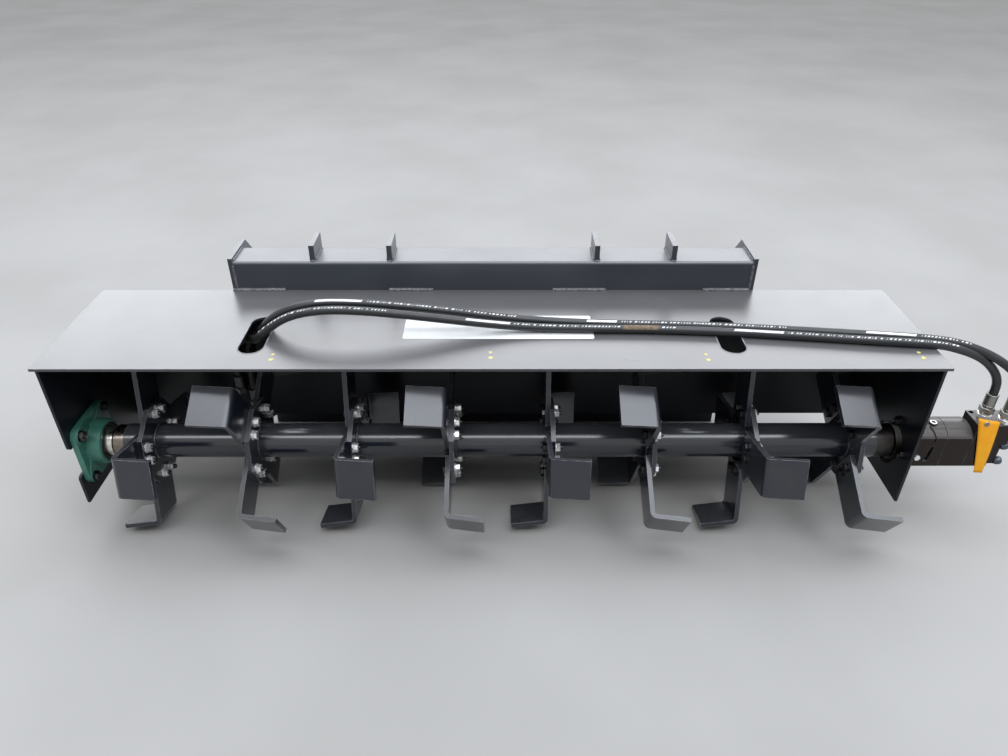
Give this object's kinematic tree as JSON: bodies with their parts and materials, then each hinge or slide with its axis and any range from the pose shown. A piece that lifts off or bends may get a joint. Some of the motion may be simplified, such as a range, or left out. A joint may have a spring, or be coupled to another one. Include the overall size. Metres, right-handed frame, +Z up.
{
  "type": "rotary tiller attachment",
  "caption": "Hydraulic rotary tiller attachment: a hooded steel frame with a tined rotor, a side motor with hoses and a quick-attach mounting plate.",
  "frame": {"origin": "midway between the two lock pin slots, at the level that the machine stands on", "axes": "+X along the rotor towards its motor, +Y towards the machine that carries it, +Z up"},
  "size_m": [2.0605, 0.6153, 0.5603],
  "materials": {
    "frame_paint": "satin charcoal paint",
    "rotor_paint": "satin black paint",
    "motor_paint": "satin black paint",
    "bearing_paint": "dark green paint",
    "bare_steel": "machined",
    "zinc": "zinc plated",
    "hose_rubber": "matt",
    "tag_card": "matt"
  },
  "bodies": {
    "housing": {"attach_beam": "frame_paint", "attach_end_left": "frame_paint", "attach_end_right": "frame_paint", "attach_plate": "frame_paint", "attach_ribs": "frame_paint", "attach_tabs": "frame_paint", "back_panel": "frame_paint", "bearing_housing": "bearing_paint", "bearing_ring": "bare_steel", "hang_tag": "tag_card", "hood_top": "frame_paint", "hook_lip": "frame_paint", "hose_a": "hose_rubber", "hose_b": "hose_rubber", "hose_end_a": "zinc", "hose_end_b": "zinc", "hose_fitting_a": "zinc", "hose_fitting_b": "zinc", "lock_flange": "frame_paint", "motor_body": "motor_paint", "motor_end_cap": "motor_paint", "motor_flange": "motor_paint", "motor_pilot": "motor_paint", "motor_valve_block": "motor_paint", "port_fitting_a": "zinc", "port_fitting_b": "zinc", "side_plate_left": "frame_paint", "side_plate_right": "frame_paint"},
    "rotor": {"rotor_tube": "rotor_paint", "stub_shaft": "bare_steel", "drive_hub": "rotor_paint", "disc_1": "rotor_paint", "disc_2": "rotor_paint", "disc_3": "rotor_paint", "disc_4": "rotor_paint", "disc_5": "rotor_paint", "disc_6": "rotor_paint", "disc_7": "rotor_paint", "disc_8": "rotor_paint", "tines_1": "rotor_paint", "tines_2": "rotor_paint", "tines_3": "rotor_paint", "tines_4": "rotor_paint", "tines_5": "rotor_paint", "tines_6": "rotor_paint", "tines_7": "rotor_paint", "tines_8": "rotor_paint"}
  },
  "joints": [
    {"name": "rotor_spin", "type": "hinge", "parent": "housing", "child": "rotor", "pos_m": [0, -0.382, 0.20433], "axis": [1, 0, 0], "continuous": true}
  ]
}
